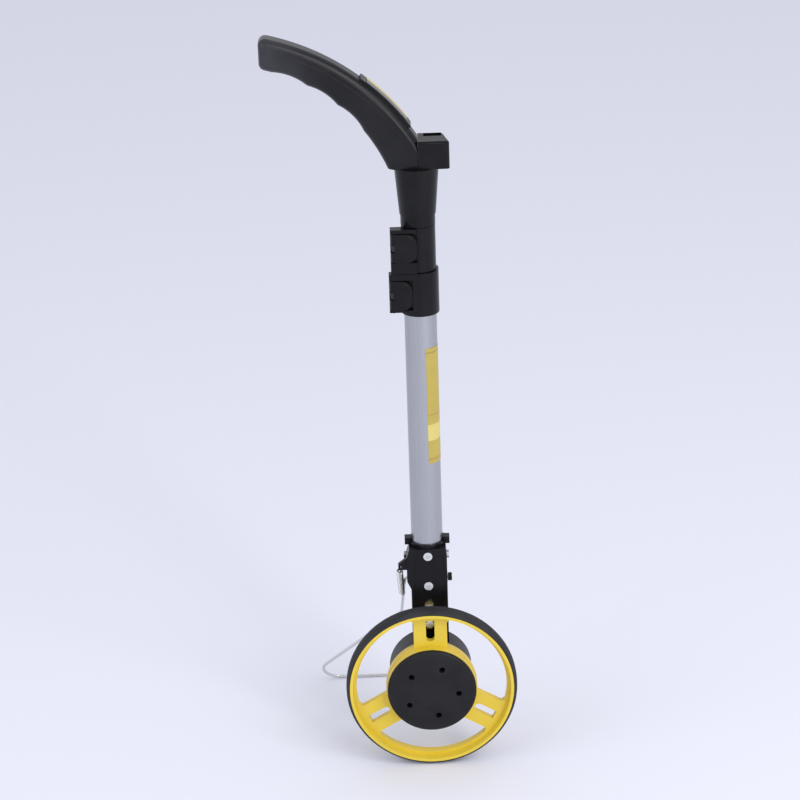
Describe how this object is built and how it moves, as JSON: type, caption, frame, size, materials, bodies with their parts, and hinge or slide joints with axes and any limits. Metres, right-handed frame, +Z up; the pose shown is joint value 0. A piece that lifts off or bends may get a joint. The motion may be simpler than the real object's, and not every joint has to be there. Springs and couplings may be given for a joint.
{
  "type": "measuring wheel",
  "caption": "Telescopic walking measuring wheel: small spoked yellow wheel on a single-sided bracket, sliding aluminium pole with flip-lever clamps, curved grip and folding wire stand.",
  "frame": {"origin": "on the floor, at the middle of the area that the standing tool covers", "axes": "+Z up along the pole, wheel axle along Y with the wheel's face to -Y, grip towards -X"},
  "size_m": [0.2126, 0.1856, 0.6936],
  "materials": {
    "tyre_rubber": "satin",
    "yellow_plastic": "glossy",
    "black_plastic": "satin",
    "cover_plastic": "satin",
    "drum_plastic": "satin",
    "grip_plastic": "satin",
    "tube_aluminium": "satin anodised",
    "bright_steel": "bright plated",
    "dark_steel": "blackened",
    "bearing_bronze": "sintered",
    "white_plastic": "smooth",
    "clear_plastic": "clear",
    "label_yellow": "printed film"
  },
  "bodies": {
    "frame": {"bracket_front": "black_plastic", "bracket_rear": "black_plastic", "bracket_screws": "bright_steel", "cross_bolt": "bright_steel", "cross_bolt_nut": "bright_steel", "outer_tube": "tube_aluminium", "tube_label": "label_yellow", "lower_clamp": "black_plastic", "lower_lever_pin": "dark_steel", "lower_eye_bolt": "dark_steel", "counter_housing": "drum_plastic", "counter_cover": "drum_plastic", "counter_cover_screws": "bright_steel", "counter_window": "clear_plastic", "counter_shaft": "bright_steel", "carry_shaft": "bright_steel", "reset_spring": "bright_steel", "axle": "bright_steel", "axle_clip": "bright_steel", "axle_nut": "bright_steel", "spacer_washer": "bright_steel", "stand_spring": "bright_steel"},
    "wheel": {"tyre": "tyre_rubber", "wheel_rim": "yellow_plastic", "hub_cover": "cover_plastic", "hub_cover_screws": "dark_steel", "front_bush": "bearing_bronze", "rear_bush": "bearing_bronze", "drive_pinion": "white_plastic"},
    "reset_button": {"reset_button": "yellow_plastic"},
    "middle_pole": {"middle_tube": "tube_aluminium", "middle_tube_bush": "white_plastic", "upper_clamp": "black_plastic", "upper_lever_pin": "dark_steel", "upper_eye_bolt": "dark_steel"},
    "handle": {"inner_tube": "tube_aluminium", "inner_tube_bush": "white_plastic", "handle_socket": "black_plastic", "socket_rivet": "bright_steel", "head_block": "black_plastic", "head_block_screw": "dark_steel", "grip_front": "grip_plastic", "grip_rear": "grip_plastic", "grip_screws": "dark_steel", "grip_panel": "black_plastic", "panel_plate": "label_yellow"},
    "lower_lever": {"lower_lever": "black_plastic"},
    "upper_lever": {"upper_lever": "black_plastic"},
    "stand": {"stand_wire": "bright_steel", "stand_cap": "black_plastic"},
    "digit_wheel_1": {"digit_wheel_1": "white_plastic"},
    "digit_wheel_2": {"digit_wheel_2": "white_plastic"},
    "digit_wheel_3": {"digit_wheel_3": "white_plastic"},
    "digit_wheel_4": {"digit_wheel_4": "white_plastic"},
    "digit_wheel_5": {"digit_wheel_5": "white_plastic"},
    "carry_pinion_1": {"carry_pinion_1": "white_plastic"},
    "carry_pinion_2": {"carry_pinion_2": "white_plastic"},
    "carry_pinion_3": {"carry_pinion_3": "white_plastic"},
    "carry_pinion_4": {"carry_pinion_4": "white_plastic"}
  },
  "joints": [
    {"name": "wheel_spin", "type": "hinge", "parent": "frame", "child": "wheel", "pos_m": [0.02665, -0.07765, 0.0796], "axis": [0, 1, 0], "continuous": true},
    {"name": "middle_slide", "type": "slide", "parent": "frame", "child": "middle_pole", "axis": [0, 0, 1], "range_m": [0, 0.2]},
    {"name": "handle_slide", "type": "slide", "parent": "middle_pole", "child": "handle", "axis": [0, 0, 1], "range_m": [0, 0.22]},
    {"name": "lower_lever_turn", "type": "hinge", "parent": "frame", "child": "lower_lever", "pos_m": [0.00315, -0.05625, 0.4593], "axis": [0, 0, -1], "range_deg": [0, 140]},
    {"name": "upper_lever_turn", "type": "hinge", "parent": "middle_pole", "child": "upper_lever", "pos_m": [0.00535, -0.05625, 0.5034], "axis": [0, 0, -1], "range_deg": [0, 140]},
    {"name": "stand_fold", "type": "hinge", "parent": "frame", "child": "stand", "pos_m": [0.02665, -0.03465, 0.1704], "axis": [1, 0, 0], "range_deg": [0, 130], "deforming": ["stand_spring"]},
    {"name": "reset_press", "type": "slide", "parent": "frame", "child": "reset_button", "axis": [0, -1, 0], "range_m": [0, 0.0025], "stiffness_N_per_m": 300, "springref_m": -0.003, "deforming": ["reset_spring"]},
    {"name": "digit_wheel_1_spin", "type": "hinge", "parent": "frame", "child": "digit_wheel_1", "pos_m": [0.00745, -0.05565, 0.07621], "axis": [0, 1, 0], "continuous": true},
    {"name": "digit_wheel_2_spin", "type": "hinge", "parent": "frame", "child": "digit_wheel_2", "pos_m": [0.00745, -0.05565, 0.07621], "axis": [0, 1, 0], "continuous": true},
    {"name": "digit_wheel_3_spin", "type": "hinge", "parent": "frame", "child": "digit_wheel_3", "pos_m": [0.00745, -0.05565, 0.07621], "axis": [0, 1, 0], "continuous": true},
    {"name": "digit_wheel_4_spin", "type": "hinge", "parent": "frame", "child": "digit_wheel_4", "pos_m": [0.00745, -0.05565, 0.07621], "axis": [0, 1, 0], "continuous": true},
    {"name": "digit_wheel_5_spin", "type": "hinge", "parent": "frame", "child": "digit_wheel_5", "pos_m": [0.00745, -0.05565, 0.07621], "axis": [0, 1, 0], "continuous": true},
    {"name": "carry_pinion_1_spin", "type": "hinge", "parent": "frame", "child": "carry_pinion_1", "pos_m": [0.00201, -0.05565, 0.09115], "axis": [0, 1, 0], "continuous": true},
    {"name": "carry_pinion_2_spin", "type": "hinge", "parent": "frame", "child": "carry_pinion_2", "pos_m": [0.00201, -0.05565, 0.09115], "axis": [0, 1, 0], "continuous": true},
    {"name": "carry_pinion_3_spin", "type": "hinge", "parent": "frame", "child": "carry_pinion_3", "pos_m": [0.00201, -0.05565, 0.09115], "axis": [0, 1, 0], "continuous": true},
    {"name": "carry_pinion_4_spin", "type": "hinge", "parent": "frame", "child": "carry_pinion_4", "pos_m": [0.00201, -0.05565, 0.09115], "axis": [0, 1, 0], "continuous": true}
  ],
  "couplings": [
    {"joint": "digit_wheel_1_spin", "follows": "wheel_spin", "ratio": -0.5},
    {"joint": "digit_wheel_2_spin", "follows": "wheel_spin", "ratio": -0.05},
    {"joint": "digit_wheel_3_spin", "follows": "wheel_spin", "ratio": -0.005},
    {"joint": "digit_wheel_4_spin", "follows": "wheel_spin", "ratio": -0.0005},
    {"joint": "digit_wheel_5_spin", "follows": "wheel_spin", "ratio": -0.00005},
    {"joint": "carry_pinion_1_spin", "follows": "wheel_spin", "ratio": 0.125},
    {"joint": "carry_pinion_2_spin", "follows": "wheel_spin", "ratio": 0.0125},
    {"joint": "carry_pinion_3_spin", "follows": "wheel_spin", "ratio": 0.00125},
    {"joint": "carry_pinion_4_spin", "follows": "wheel_spin", "ratio": 0.000125}
  ]
}
